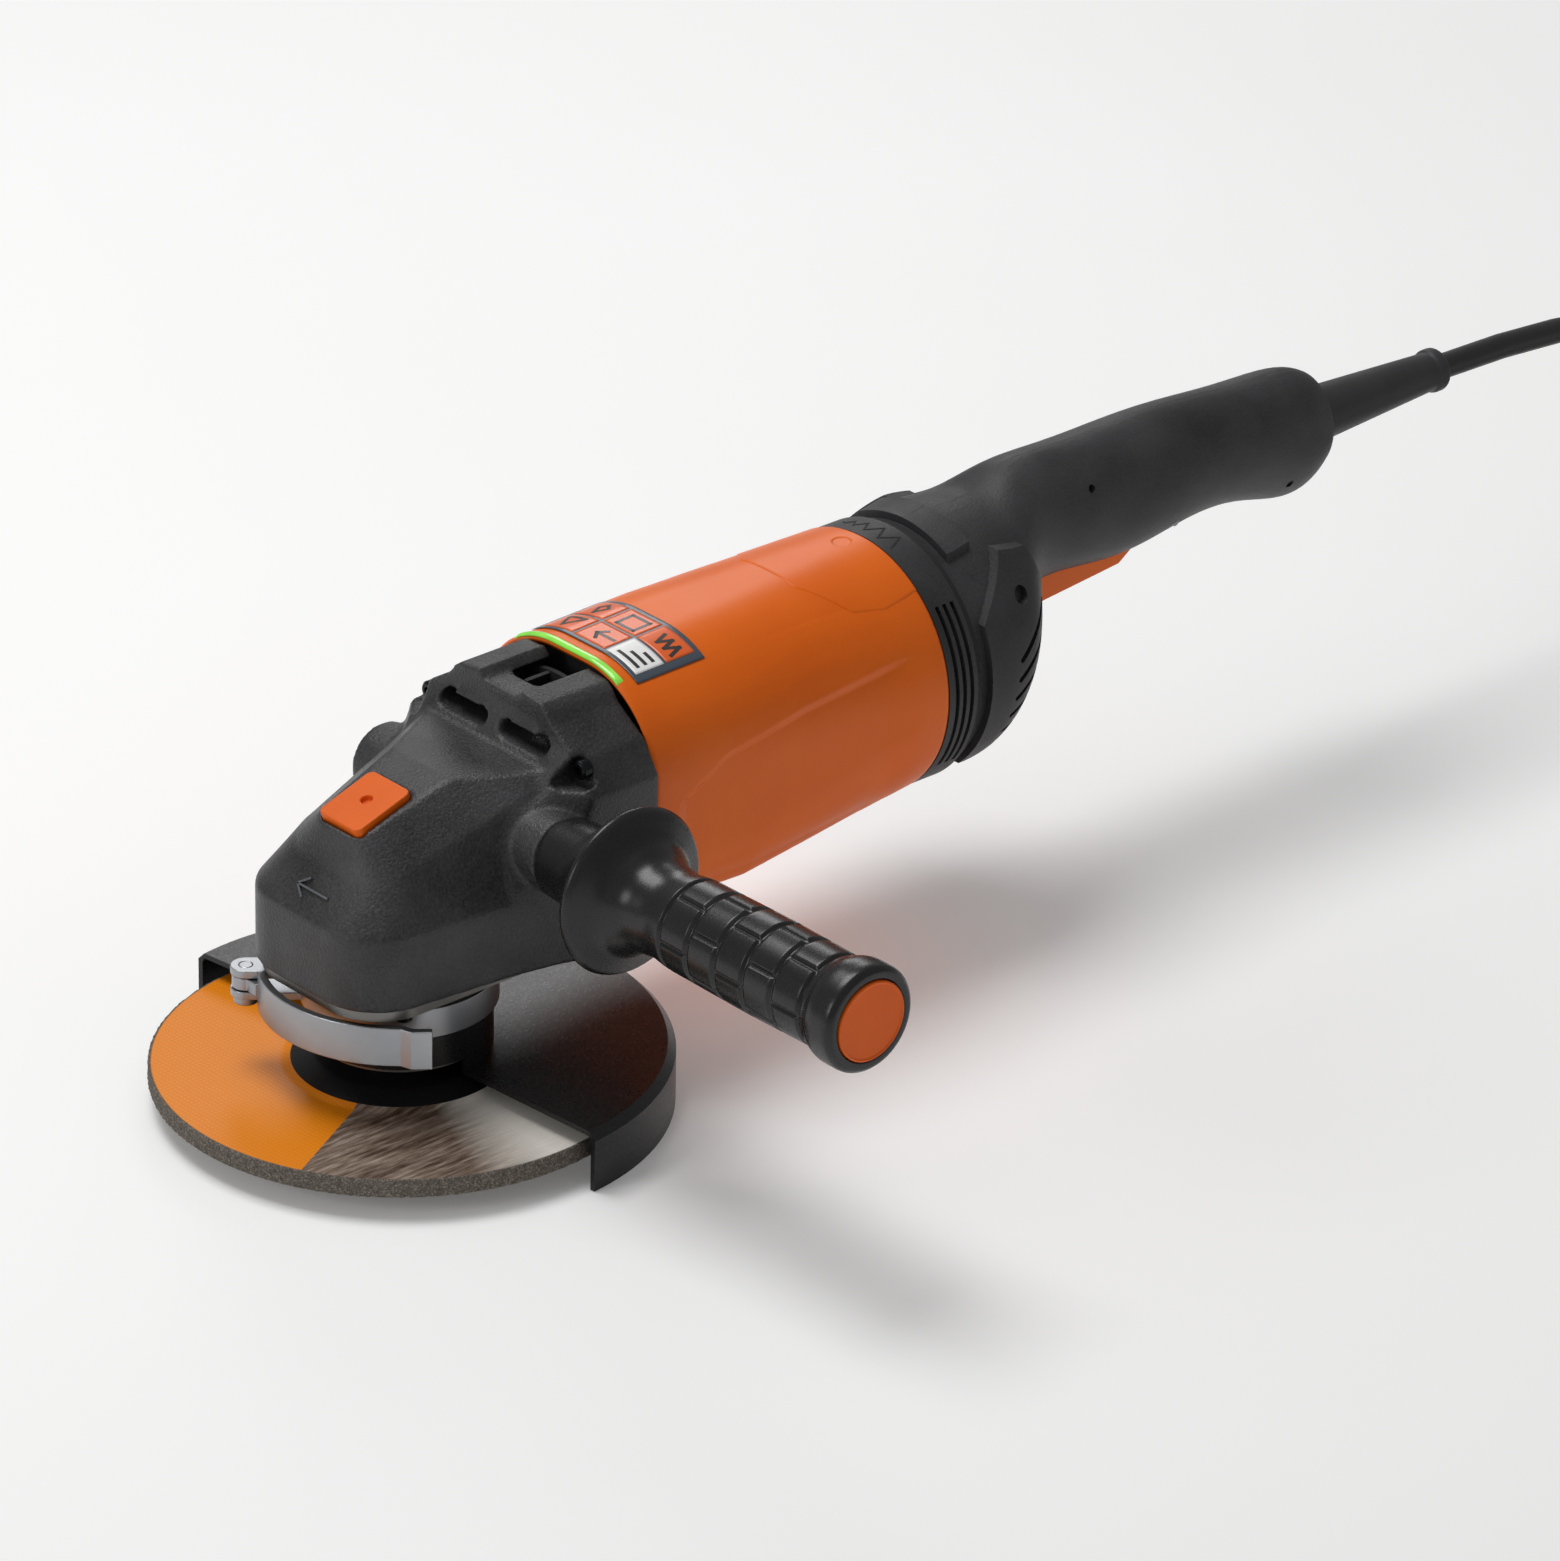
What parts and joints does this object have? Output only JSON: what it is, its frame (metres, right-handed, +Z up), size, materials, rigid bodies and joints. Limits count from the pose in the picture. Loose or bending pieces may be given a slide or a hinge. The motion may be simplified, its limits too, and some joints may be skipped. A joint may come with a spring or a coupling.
{
  "type": "angle grinder",
  "caption": "Corded two-hand angle grinder with a cranked gear head, tool-free adjustable guard, side handle, rear D-section grip with paddle switch and coiled mains cord.",
  "frame": {"origin": "where the spindle axis meets the plane of the disc's working face", "axes": "+X from the gear head to the rear grip, -Y towards the side handle, +Z up, away from the working face"},
  "size_m": [0.8374, 0.3093, 0.1639],
  "materials": {
    "cast_head": "fine textured powder coat",
    "orange_plastic": "satin",
    "black_plastic": "fine textured",
    "grip_plastic": "satin",
    "rubber": "matte",
    "zinc_steel": "satin",
    "dark_steel": "satin black",
    "collar_steel": "dark satin",
    "hard_steel": "ground",
    "bearing_steel": "polished",
    "alloy": "die cast",
    "cap_alloy": "satin",
    "laminations": "stacked sheet",
    "copper": "enamelled wire",
    "carbon": "pressed carbon",
    "brass": "satin",
    "abrasive": "bonded grit with a printed label",
    "label": "printed film",
    "led_lens": "translucent lens",
    "cord_rubber": "matte sheath",
    "circuit": "potted"
  },
  "bodies": {
    "housing": {"air_baffle": "black_plastic", "armature_front_bearing": "bearing_steel", "armature_rear_bearing": "bearing_steel", "bearing_cap": "cap_alloy", "bearing_flange": "collar_steel", "bearing_holder": "alloy", "brush_holders": "brass", "carbon_brushes": "carbon", "cord_clamp": "black_plastic", "cord_coil": "cord_rubber", "cord_sleeve": "rubber", "cord_tail": "cord_rubber", "cord_tube": "cord_rubber", "cover_screw": "dark_steel", "damper_ring": "rubber", "electronics_module": "circuit", "flange_screws": "zinc_steel", "gear_head": "cast_head", "handle_left": "black_plastic", "handle_right": "black_plastic", "handle_screws": "dark_steel", "head_screws": "dark_steel", "intake_ring": "black_plastic", "label_plate": "label", "led_strip": "led_lens", "motor_housing": "orange_plastic", "needle_bearing": "bearing_steel", "paddle_pin": "hard_steel", "plug_body": "rubber", "plug_pins": "zinc_steel", "spindle_bearing_outer": "bearing_steel", "stator_core": "laminations", "stator_windings": "copper", "switch_unit": "black_plastic", "top_cover": "orange_plastic", "vent_panel_left": "black_plastic", "vent_panel_right": "black_plastic"},
    "spindle": {"spindle": "hard_steel", "crown_gear": "hard_steel", "inner_flange": "hard_steel", "clamp_nut": "hard_steel", "grinding_disc": "abrasive", "disc_bush": "hard_steel", "spindle_bearing_inner": "bearing_steel"},
    "armature": {"armature_shaft": "hard_steel", "armature_core": "laminations", "armature_windings": "copper", "commutator": "copper", "fan": "black_plastic", "pinion": "hard_steel"},
    "guard": {"guard": "dark_steel", "clamp_band": "collar_steel", "lever_pin": "zinc_steel"},
    "lever": {"clamp_lever": "zinc_steel"},
    "paddle": {"switch_paddle": "orange_plastic"},
    "lock": {"lock_button": "orange_plastic", "lock_pin": "hard_steel"},
    "side_handle": {"side_handle_grip": "grip_plastic", "handle_stud": "zinc_steel", "handle_cap": "orange_plastic"}
  },
  "joints": [
    {"name": "spindle_spin", "type": "hinge", "parent": "housing", "child": "spindle", "pos_m": [0, 0, 0.05], "axis": [0, 0, 1], "continuous": true},
    {"name": "armature_spin", "type": "hinge", "parent": "housing", "child": "armature", "pos_m": [0.13, 0, 0.097], "axis": [1, 0, 0], "continuous": true},
    {"name": "guard_turn", "type": "hinge", "parent": "housing", "child": "guard", "pos_m": [0, 0, 0.03], "axis": [0, 0, 1], "range_deg": [-90, 90]},
    {"name": "lever_open", "type": "hinge", "parent": "guard", "child": "lever", "pos_m": [-0.04175, 0.03503, 0.039], "axis": [0, 0, 1], "range_deg": [-75, 0]},
    {"name": "paddle_press", "type": "hinge", "parent": "housing", "child": "paddle", "pos_m": [0.366, 0, 0.113], "axis": [0, 1, 0], "range_deg": [0, 6], "stiffness_Nm_per_rad": 1.2, "springref_deg": -6.88},
    {"name": "lock_press", "type": "slide", "parent": "housing", "child": "lock", "axis": [0.309, 0, -0.9511], "range_m": [0, 0.0035], "stiffness_N_per_m": 700, "springref_m": -0.004},
    {"name": "side_handle_unscrew", "type": "slide", "parent": "housing", "child": "side_handle", "axis": [0, -1, 0], "range_m": [0, 0.02]}
  ],
  "couplings": [
    {"joint": "armature_spin", "follows": "spindle_spin", "ratio": 3.4167}
  ]
}
